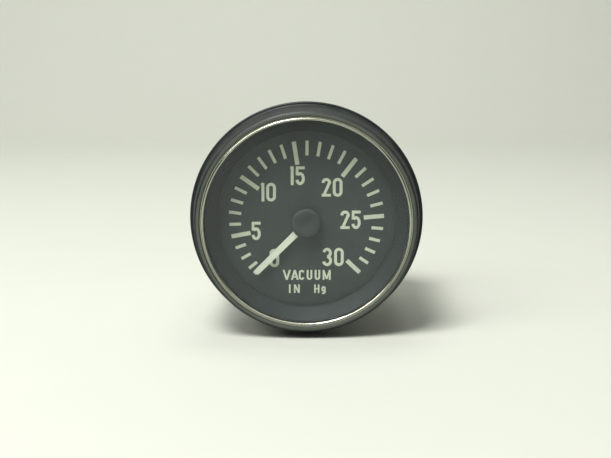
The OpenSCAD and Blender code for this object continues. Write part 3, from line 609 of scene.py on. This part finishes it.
dress(clear_glass("bulb_glass", (0.97, 0.97, 0.94, 1), 0.02), "lamp_bulb")


# Dial: an aluminium disc sprayed matt black, with the scale and the words printed in ivory ink.
# It lies on the movement's posts. The scale's marks are set out by Geometry Nodes.
dial_black = moulded("dial_matt_black", (0.038, 0.047, 0.043, 1), 0.6, dust=0.08, gloss=0.12,
                     depth=0.0000006)
dress(dial_black, "dial")

ivory_ink, tree, out = new_finish("ivory_ink")
grain = use_effect(tree, fine_grain, Scale=1800)
thin = spread(tree, grain.outputs["Height"], 0.3, 0.62, 0.25, 0.0)
end_finish(tree, out, {"Roughness": 0.6, "Base Color": blend_colours(
    tree, thin, (0.74, 0.77, 0.62, 1), (0.50, 0.53, 0.43, 1))})

# From here to the numbers, sizes are millimetres in the dial frame: right, up, out to the front
dial_level = 1.4
ink_height = 0.02
pivot_level = -0.9
mark_count, long_every = 30, 5
scale_tree, given, scale_values = shape_tree("scale_marks", (
    ("Pivot", pivot_level), ("Step", math.radians(9.477)), ("First", math.radians(-150.1)),
    ("Zero", math.radians(-135)), ("Shift X", -0.0185), ("Shift Y", 0.0316),
    ("Outer radius", 20.0), ("Outer rise", 1.2), ("Short radius", 16.9), ("Short rise", 0.5),
    ("Long radius", 14.8), ("Long rise", 0.4), ("Short width", 0.8), ("Long width", 1.1),
    ("Level", dial_level), ("Ink", ink_height)), ivory_ink)
value_of = sums(scale_tree, "ADD", put_node(scale_tree, "GeometryNodeInputIndex").outputs[0], 1)
# The marks step evenly about a centre slightly off the pivot, which shifts their angles a little
even = sums(scale_tree, "MULTIPLY_ADD", value_of, given["Step"], given["First"])
shift = sums(scale_tree, "MULTIPLY", given["Shift X"], sums(scale_tree, "COSINE", even))
shift = sums(scale_tree, "SUBTRACT", shift,
             sums(scale_tree, "MULTIPLY", given["Shift Y"], sums(scale_tree, "SINE", even)))
angle = sums(scale_tree, "MAXIMUM", sums(scale_tree, "ADD", even, shift), given["Zero"])
# Every fifth mark is long, and so is the first one
by_five = sums(scale_tree, "LESS_THAN", sums(scale_tree, "MODULO", value_of, long_every), 0.5)
is_long = sums(scale_tree, "MAXIMUM", by_five, sums(scale_tree, "LESS_THAN", value_of, 1.5))


def chosen(long_one, short_one):
    """The value for a long mark or for a short one."""
    difference = sums(scale_tree, "SUBTRACT", long_one, short_one)
    return sums(scale_tree, "MULTIPLY_ADD", is_long, difference, short_one)


def way_out(radius, rise):
    """Distance from the pivot to a circle whose centre lies above the pivot, along the mark."""
    beside = sums(scale_tree, "MULTIPLY", rise, sums(scale_tree, "SINE", angle))
    beside = sums(scale_tree, "MULTIPLY", beside, beside)
    straight = sums(scale_tree, "SUBTRACT", sums(scale_tree, "MULTIPLY", radius, radius), beside)
    ahead = sums(scale_tree, "MULTIPLY", rise, sums(scale_tree, "COSINE", angle))
    return sums(scale_tree, "ADD", ahead, sums(scale_tree, "SQRT", straight))


outer_end = way_out(given["Outer radius"], given["Outer rise"])
inner_end = way_out(chosen(given["Long radius"], given["Short radius"]),
                    chosen(given["Long rise"], given["Short rise"]))
middle = sums(scale_tree, "MULTIPLY", sums(scale_tree, "ADD", outer_end, inner_end), 0.5)
spot = put_node(scale_tree, "ShaderNodeCombineXYZ", {
    0: sums(scale_tree, "MULTIPLY", middle, sums(scale_tree, "SINE", angle)),
    1: sums(scale_tree, "MULTIPLY_ADD", middle, sums(scale_tree, "COSINE", angle), given["Pivot"]),
    2: sums(scale_tree, "MULTIPLY_ADD", given["Ink"], 0.5, given["Level"])})
points = put_node(scale_tree, "GeometryNodeMeshLine", {"Count": mark_count})
points = put_node(scale_tree, "GeometryNodeSetPosition", {
    "Geometry": points.outputs[0], "Position": spot.outputs[0]})
turned_by = put_node(scale_tree, "ShaderNodeCombineXYZ", {
    2: sums(scale_tree, "MULTIPLY", angle, -1)})
sized = put_node(scale_tree, "ShaderNodeCombineXYZ", {
    0: chosen(given["Long width"], given["Short width"]),
    1: sums(scale_tree, "SUBTRACT", outer_end, inner_end), 2: given["Ink"]})
bar = put_node(scale_tree, "GeometryNodeMeshCube", {"Size": (1, 1, 1)})
marks = put_node(scale_tree, "GeometryNodeInstanceOnPoints", {
    "Points": points.outputs[0], "Instance": bar.outputs[0],
    "Rotation": turned_by.outputs[0], "Scale": sized.outputs[0]})
marks = put_node(scale_tree, "GeometryNodeRealizeInstances", {0: marks.outputs[0]})
# From millimetres in the dial frame to metres in the gauge's frame
stood_up = put_node(scale_tree, "GeometryNodeTransform", {
    "Geometry": marks.outputs[0], "Rotation": (math.radians(90), 0, 0),
    "Scale": (0.001, 0.001, 0.001)})
scale_marks = worked_out("scale_marks", scale_tree, stood_up.outputs[0], given["Finish"],
                         scale_values)
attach(scale_marks, "case")


# Numbers and words of the dial: condensed upright characters in the same ivory ink as the marks,
# printed through a screen. Each is drawn here as strokes of even width.
def bow(x, y, wide, high, start, end, steps=14):
    """Points of an elliptic arc about (x, y)."""
    return [(x + wide * math.cos(math.radians(start + (end - start) * i / steps)),
             y + high * math.sin(math.radians(start + (end - start) * i / steps)))
            for i in range(steps + 1)]


def leaning_bar(x0, y0, x1, y1, wide):
    """A straight bar cut level at both ends, as its left and right edge."""
    return ([(x0 - wide / 2, y0), (x1 - wide / 2, y1)], [(x0 + wide / 2, y0), (x1 + wide / 2, y1)],
            False)


def even_stroke(points, line, closed=False):
    """A bent stroke of even width, as its left and right edge with mitred corners."""
    least_step, least_mitre = 1e-4, 0.7
    points = [Vector(p) for i, p in enumerate(points)
              if i == 0 or (Vector(p) - Vector(points[i - 1])).length > least_step]
    count = len(points)
    left, right = [], []
    for i, p in enumerate(points):
        before = points[(i - 1) % count] if closed or i else None
        after = points[(i + 1) % count] if closed or i < count - 1 else None
        runs = [(q - r).normalized() for q, r in ((p, before), (after, p)) if q and r]
        sides = [Vector((-run.y, run.x)) for run in runs]
        across = sum(sides, Vector((0, 0))).normalized()
        reach = line / 2 / max(least_mitre, across.dot(sides[0]))
        left.append(p + across * reach)
        right.append(p - across * reach)
    return left, right, closed


def character(sign, w, h, line):
    """Strokes of a character w wide and h high about its centre, each as two edges."""
    top, side = h / 2, w / 2
    a, b = (w - line) / 2, (h - line) / 2
    c = min(a, b)
    if sign == "0":
        return [even_stroke(bow(0, b - c, a, c, 0, 180) + bow(0, c - b, a, c, 180, 360),
                            line, True)]
    if sign == "1":
        return [leaning_bar(side - line / 2, -top, side - line / 2, top, line),
                leaning_bar(side - line * 0.75, top, side - line * 1.02, top * 0.76, line * 0.5)]
    if sign == "2":
        return [even_stroke(bow(0, b - c, a, c, 185, -8) + [(a * 0.72, b - c * 1.55)], line),
                leaning_bar(a * 0.84, b - c * 1.35, -a * 0.96, -top, line * 1.05),
                even_stroke([(-side, -b), (side, -b)], line * 0.95)]
    if sign == "3":
        d = b * 0.48
        e = b - d
        return [even_stroke(bow(-0.05 * w, b - d, a, d, 168, -90), line),
                even_stroke(bow(-0.05 * w, e - b, a * 1.08, e, 90, -168), line)]
    if sign == "5":
        d = h * 0.27
        return [even_stroke([(-a * 0.95, b), (side * 0.94, b)], line),
                leaning_bar(-a * 0.93, top, -a * 0.98, 0.02 * h, line * 0.9),
                even_stroke(bow(-0.02 * w, -b + d, a, d, 138, -166), line)]
    lean = line * 1.08
    if sign == "V":
        return [leaning_bar(lean / 2 - side, top, 0, -top, lean),
                leaning_bar(side - lean / 2, top, 0, -top, lean)]
    if sign == "A":
        return [leaning_bar(lean / 2 - side, -top, 0, top, lean),
                leaning_bar(side - lean / 2, -top, 0, top, lean),
                even_stroke([(-side * 0.5, -top * 0.42), (side * 0.5, -top * 0.42)], line * 0.8)]
    if sign == "C":
        return [even_stroke(bow(0, b - c, a, c, 8, 180) + bow(0, c - b, a, c, 180, 352), line)]
    if sign == "U":
        return [even_stroke([(-a, top)] + bow(0, c - b, a, c, 180, 360) + [(a, top)], line)]
    if sign in "MN":
        strokes = [leaning_bar(-a, -top, -a, top, line), leaning_bar(a, -top, a, top, line)]
        if sign == "N":
            return strokes + [leaning_bar(-a, top, a, -top, lean)]
        return strokes + [leaning_bar(-a, top, 0, -top * 0.85, lean * 0.9),
                          leaning_bar(a, top, 0, -top * 0.85, lean * 0.9)]
    if sign == "I":
        return [leaning_bar(0, -top, 0, top, line)]
    if sign == "H":
        return [leaning_bar(-a, -top, -a, top, line), leaning_bar(a, -top, a, top, line),
                even_stroke([(-a, 0), (a, 0)], line * 0.85)]
    # What is left is the g
    return [even_stroke(bow(0, -b * 0.05, a, b * 0.55, 0, 360)[:-1], line, True),
            even_stroke([(a, b * 0.5), (a, -b * 0.9)]
                        + bow(0, -b * 0.9, a, b * 0.42, 0, -150)[1:], line)]


def printed(name, signs):
    """One thin sheet of ink: signs are (sign, x, y, width, height, stroke) in the dial frame."""
    shape = bmesh.new()
    low, high = dial_level, dial_level + ink_height
    trace = 0.003
    for sign, x, y, w, h, line in signs:
        # Each stroke is a trace higher than the one before, so that no two faces share a plane
        for order, (left, right, closed) in enumerate(character(sign, w, h, line)):
            corner = [[shape.verts.new(((x + p[0]) / 1000, -level / 1000, (y + p[1]) / 1000))
                       for p in edge] for edge in (left, right)
                      for level in (low, high + trace * order)]
            left_low, left_high, right_low, right_high = corner
            count = len(left)
            for i in range(count if closed else count - 1):
                j = (i + 1) % count
                for first, second in ((left_high, right_high), (right_low, left_low),
                                      (left_low, left_high), (right_high, right_low)):
                    shape.faces.new((first[i], first[j], second[j], second[i]))
            if not closed:
                for i in (0, count - 1):
                    shape.faces.new((left_low[i], left_high[i], right_high[i], right_low[i]))
    bmesh.ops.recalc_face_normals(shape, faces=shape.faces)
    mesh = bpy.data.meshes.new(name)
    shape.to_mesh(mesh)
    shape.free()
    mesh.materials.append(ivory_ink)
    piece = set_out(name, mesh)
    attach(piece, "case")


# Each number is (digits, centre x, centre y)
digit_widths = {"0": 2.5, "1": 1.05, "2": 2.4, "3": 2.45, "5": 2.45}
digit_gap, digit_height, digit_line = 0.46, 4.85, 0.76
number_signs = []
for digits, x, y in (("0", -8.34, -10.28), ("5", -12.99, -3.12), ("10", -9.84, 7.03),
                     ("15", -2.34, 11.28), ("20", 6.58, 8.28), ("25", 11.42, -0.19),
                     ("30", 6.98, -10.0)):
    at = x - (sum(digit_widths[d] for d in digits) + digit_gap * (len(digits) - 1)) / 2
    for digit in digits:
        wide = digit_widths[digit]
        number_signs.append((digit, at + wide / 2, y, wide, digit_height, digit_line))
        at += wide + digit_gap
printed("scale_numbers", number_signs)

# Each line of words is (height of its middle, letter height, stroke, letters), and each letter is
# (letter, centre x, width)
word_signs = [(sign, x, y, wide, high, line) for y, high, line, letters in (
    (-14.78, 2.65, 0.48, (("V", -5.12, 2.15), ("A", -3.02, 2.05), ("C", -1.25, 1.45),
                          ("U", 0.80, 1.45), ("U", 2.88, 1.45), ("M", 5.28, 2.10))),
    (-18.49, 2.3, 0.44, (("I", -4.35, 0.44), ("N", -2.50, 1.55), ("H", 2.72, 1.40),
                         ("g", 4.45, 1.15)))) for sign, x, wide in letters]
printed("scale_words", word_signs)


# Pointer: a blade stamped from thin sheet and enamelled white, riveted under a black moulded
# boss that is pushed on the arbor.
enamel, tree, out = new_finish("white_enamel")
grain = use_effect(tree, fine_grain, Scale=1200)
wear = use_effect(tree, edge_wear, Reach=0.00008)
colour = blend_colours(tree, grain.outputs["Tone"], (0.86, 0.88, 0.76, 1), (0.78, 0.80, 0.68, 1))
colour = blend_colours(tree, wear.outputs["Mask"], colour, (0.60, 0.61, 0.52, 1))
end_finish(tree, out, {"Base Color": colour, "Roughness": 0.5})
dress(enamel, "pointer_blade")

hub_black = moulded("hub_black", (0.029, 0.036, 0.034, 1), 0.5, dust=0.06, gloss=0.2,
                    depth=0.000001)
hub = turned("pointer_boss", (
    [(0.6, 1.9), (1.56, 1.9), (1.56, 2.7), (3.75, 2.7), (3.9, 2.8)]
    + curve_round((3.05, 3.15), 0.85, 0, 90, 10)
    + [(1.6, 4.0), (1.45, 3.93), (0.0, 3.93), (0.0, 3.57), (0.6, 3.57)]), steps=96)
hub.data.materials.append(hub_black)
for point in hub.data.vertices:
    point.co.z += pivot_level / 1000
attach(hub, "pointer")
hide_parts("pointer_hub")


# Shade: a cone pressed from thin steel and painted black inside, which hides the dial's edge and
# carries the glass on a rubber ring.
shade_black = moulded("shade_black", (0.007, 0.012, 0.011, 1), 0.56, dust=0.02, gloss=0.3,
                      depth=0.0000006)
shade = turned("shade_cone", [
    (27.87, 1.4), (27.87, 5.8), (26.1, 5.8), (26.0, 5.76), (23.2, 3.02), (22.85, 2.94),
    (22.8, 2.85), (22.8, 2.45), (22.85, 2.4), (23.3, 2.4), (26.5, 5.3), (27.37, 5.3),
    (27.37, 1.4)], steps=256)
shade.data.materials.append(shade_black)
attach(shade, "case")
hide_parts("shade_ring")
dress(moulded("gasket_rubber", (0.022, 0.022, 0.021, 1), 0.7), "lens_gasket")


# Glass: a flat disc cut from window glass, with ground edges. It lies on the rubber ring, and the
# bright ring holds it down.
pane = turned("gauge_glass", [
    (0.0, 6.3), (27.4, 6.3), (27.52, 6.42), (27.52, 7.98), (27.4, 8.1), (0.0, 8.1)], steps=256)
pane.data.materials.append(clear_glass("gauge_glass", (0.96, 0.98, 0.97, 1), 0.0))
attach(pane, "case")
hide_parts("lens")


# Bright ring: rolled from brass strip and chrome plated, with a round bead over the glass. It is
# sprung into the bezel's bore.
chrome, tree, out = new_finish("chromed_ring")
grain = use_effect(tree, fine_grain, Scale=1600)
turned_marks = use_effect(tree, lathe_rings, Scale=3000)
dirt = use_effect(tree, settled_dust, Amount=0.25)
colour = blend_colours(tree, grain.outputs["Tone"], (0.78, 0.79, 0.63, 1), (0.64, 0.65, 0.50, 1))
colour = blend_colours(tree, dirt.outputs["Mask"], colour, (0.35, 0.34, 0.28, 1))
height = sums(tree, "ADD", grain.outputs["Height"], turned_marks.outputs["Height"])
end_finish(tree, out, {
    "Base Color": colour, "Metallic": 1.0,
    "Roughness": spread(tree, grain.outputs["Tone"], 0.3, 0.75, 0.12, 0.28),
    "Normal": fine_bump(tree, height, 0.000008, 0.5)})

ring_rows = ([(26.0, 8.1)] + curve_round((26.35, 8.4), 0.35, 180, 0, 20)
             + [(26.72, 8.38), (27.6, 8.4), (27.9, 8.1), (27.9, 6.3), (27.55, 6.3), (27.55, 8.1)])
ring = turned("chromed_bead", ring_rows, steps=320)
ring.data.materials.append(chrome)
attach(ring, "case")
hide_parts("trim_ring")


# Bezel: spun from steel sheet with a flange that lies on the panel and stove enamelled black. Its
# front is turned in over the bright ring, and its back edge is rolled under the case's rim.
enamel_black, tree, out = new_finish("stoved_black")
grain = use_effect(tree, fine_grain, Scale=5000)
wear = use_effect(tree, edge_wear, Reach=0.0002, Breakup=900)
dirt = use_effect(tree, settled_dust, Amount=0.22)
tone = grain.outputs["Tone"]
base = blend_colours(tree, tone, (0.010, 0.014, 0.013, 1), (0.020, 0.025, 0.023, 1))
base = blend_colours(tree, wear.outputs["Mask"], base, (0.16, 0.16, 0.14, 1))
# Painted sheen: the enamel's rounded front edge gets a lighter tone all round, which stands in for
# the grey shine it shows there
sheen_band_starts, sheen_band_full = -0.00862, -0.00878
sheen_band = spread(tree, own_place(tree, "Y"), sheen_band_starts, sheen_band_full)
painted_sheen_share = sums(tree, "MULTIPLY", sheen_band, spread(tree, tone, 0.3, 0.6, 0.75))
base = blend_colours(tree, painted_sheen_share, base, (0.105, 0.118, 0.096, 1))
base = blend_colours(tree, dirt.outputs["Mask"], base, (0.16, 0.17, 0.15, 1))
end_finish(tree, out, {
    "Base Color": base, "Specular IOR Level": 0.3,
    "Roughness": spread(tree, tone, 0.3, 0.7, 0.30, 0.46),
    "Normal": fine_bump(tree, grain.outputs["Height"], 0.000002, 0.5)})

bezel = turned("spun_bezel", (
    [(27.1, 0.0)] + curve_round((29.75, 0.4), 0.4, -90, 0) + curve_round((29.75, 0.8), 0.4, 0, 90)
    + curve_round((29.65, 1.6), 0.4, 270, 180) + curve_round((27.45, 7.8), 1.0, 0, 90, 12)
    + [(27.3, 8.8), (27.12, 8.75), (26.98, 8.62), (26.9, 8.4), (27.6, 8.4), (27.9, 8.1),
       (27.9, 0.8), (27.1, 0.8)]), steps=320)
bezel.data.materials.append(enamel_black)
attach(bezel, "case")
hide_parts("bezel")


# Clamp: a strap of zinc plated steel bent to a U that bears on the panel's back, with a lock
# washer and a nut on each stud.
dress(zinc_plate, "clamp_bracket", "lock_washers", "stud_nuts")
